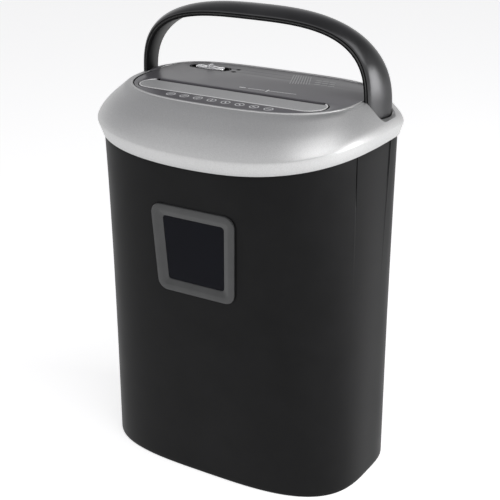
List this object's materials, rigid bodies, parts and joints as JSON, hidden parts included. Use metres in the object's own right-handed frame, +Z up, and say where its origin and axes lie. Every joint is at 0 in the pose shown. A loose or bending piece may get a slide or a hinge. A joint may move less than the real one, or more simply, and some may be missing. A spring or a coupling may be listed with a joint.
{
  "type": "paper shredder",
  "caption": "Paper shredder with a tapered black bin and window, a domed silver head with feed tray and mode slider, and an arched carry handle.",
  "frame": {"origin": "on the floor, under the centre of the shredder's bounding box", "axes": "+X to the right seen from the front, +Y to the back, +Z up"},
  "size_m": [0.3418, 0.2158, 0.5367],
  "materials": {
    "bin_shell": "fine satin texture",
    "window_frame": "smoked clear moulding",
    "window_pane": "smoked clear pane",
    "head_cover": "silver metallic, fine grain",
    "top_panel": "charcoal, fine grain",
    "feed_tray": "silver metallic, satin",
    "head_chassis": "moulded",
    "handle_outer": "satin",
    "handle_inner": "satin",
    "handle_screws": "zinc plated",
    "chassis_screws": "zinc plated",
    "switch_bezel": "satin",
    "switch_body": "moulded",
    "mode_slider": "polished",
    "indicator_lights": "dark lens, unlit",
    "cord_gland": "moulded",
    "left_frame_plate": "zinc plated",
    "right_frame_plate": "zinc plated",
    "tie_rods": "turned",
    "shaft_bushes": "sintered bronze",
    "gearbox_cover": "moulded",
    "front_cutter_shaft": "turned and milled",
    "front_cutters": "hardened, oiled",
    "front_sync_gear": "nylon",
    "front_shaft_clip": "spring steel",
    "rear_cutter_shaft": "turned and milled",
    "rear_cutters": "hardened, oiled",
    "rear_sync_gear": "nylon",
    "final_gear": "nylon",
    "rear_shaft_clip": "spring steel",
    "front_stripper": "moulded",
    "rear_stripper": "moulded",
    "idler_pin": "turned",
    "idler_gear": "nylon",
    "idler_clip": "spring steel",
    "motor_can": "zinc plated",
    "motor_end_cap": "moulded",
    "motor_magnets": "ferrite",
    "motor_rotor": "laminated core with windings",
    "motor_pinion": "machined",
    "motor_fan": "moulded",
    "motor_screws": "zinc plated",
    "circuit_board": "solder mask",
    "board_parts": "mixed parts",
    "sensor_lever": "moulded",
    "sensor_pin": "turned",
    "sensor_switch": "moulded",
    "interlock_plunger": "moulded",
    "interlock_spring": "spring wire",
    "interlock_switch": "moulded"
  },
  "bodies": {
    "bin": {"bin_shell": "bin_shell", "window_frame": "window_frame", "window_pane": "window_pane"},
    "mode_slider": {"mode_slider": "mode_slider"},
    "sensor_lever": {"sensor_lever": "sensor_lever"},
    "plunger": {"interlock_plunger": "interlock_plunger"},
    "rotor": {"motor_rotor": "motor_rotor", "motor_pinion": "motor_pinion", "motor_fan": "motor_fan"},
    "idler": {"idler_gear": "idler_gear"},
    "rear_drum": {"rear_cutter_shaft": "rear_cutter_shaft", "rear_cutters": "rear_cutters", "rear_sync_gear": "rear_sync_gear", "rear_shaft_clip": "rear_shaft_clip", "final_gear": "final_gear"},
    "front_drum": {"front_cutter_shaft": "front_cutter_shaft", "front_cutters": "front_cutters", "front_sync_gear": "front_sync_gear", "front_shaft_clip": "front_shaft_clip"},
    "head": {"head_cover": "head_cover", "top_panel": "top_panel", "feed_tray": "feed_tray", "head_chassis": "head_chassis", "handle_outer": "handle_outer", "handle_inner": "handle_inner", "handle_screws": "handle_screws", "chassis_screws": "chassis_screws", "switch_bezel": "switch_bezel", "switch_body": "switch_body", "indicator_lights": "indicator_lights", "cord_gland": "cord_gland", "left_frame_plate": "left_frame_plate", "right_frame_plate": "right_frame_plate", "tie_rods": "tie_rods", "shaft_bushes": "shaft_bushes", "gearbox_cover": "gearbox_cover", "front_stripper": "front_stripper", "rear_stripper": "rear_stripper", "idler_pin": "idler_pin", "idler_clip": "idler_clip", "motor_can": "motor_can", "motor_end_cap": "motor_end_cap", "motor_magnets": "motor_magnets", "motor_screws": "motor_screws", "circuit_board": "circuit_board", "board_parts": "board_parts", "sensor_pin": "sensor_pin", "sensor_switch": "sensor_switch", "interlock_spring": "interlock_spring", "interlock_switch": "interlock_switch"}
  },
  "joints": [
    {"name": "head_lift", "type": "slide", "parent": "bin", "child": "head", "axis": [0, 0, 1], "range_m": [0, 0.12]},
    {"name": "mode_slide", "type": "slide", "parent": "head", "child": "mode_slider", "axis": [1, 0, 0], "range_m": [-0.006, 0.006]},
    {"name": "sensor_swing", "type": "hinge", "parent": "head", "child": "sensor_lever", "pos_m": [0, 0.0069, 0.424], "axis": [1, 0, 0], "range_deg": [0, 20], "stiffness_Nm_per_rad": 0.004, "springref_deg": -17.19},
    {"name": "plunger_slide", "type": "slide", "parent": "head", "child": "plunger", "axis": [0, 0, 1], "range_m": [0, 0.0015], "stiffness_N_per_m": 400, "springref_m": -0.004, "deforming": ["interlock_spring"]},
    {"name": "motor_spin", "type": "hinge", "parent": "head", "child": "rotor", "pos_m": [0, 0.06672, 0.388], "axis": [1, 0, 0], "continuous": true},
    {"name": "idler_spin", "type": "hinge", "parent": "head", "child": "idler", "pos_m": [0, 0.04746, 0.411], "axis": [1, 0, 0], "continuous": true},
    {"name": "rear_drum_spin", "type": "hinge", "parent": "head", "child": "rear_drum", "pos_m": [0, 0.0134, 0.392], "axis": [1, 0, 0], "continuous": true},
    {"name": "front_drum_spin", "type": "hinge", "parent": "head", "child": "front_drum", "pos_m": [0, -0.0166, 0.392], "axis": [1, 0, 0], "continuous": true}
  ],
  "couplings": [
    {"joint": "idler_spin", "follows": "motor_spin", "ratio": -0.25},
    {"joint": "rear_drum_spin", "follows": "motor_spin", "ratio": 0.075},
    {"joint": "front_drum_spin", "follows": "motor_spin", "ratio": -0.075}
  ]
}
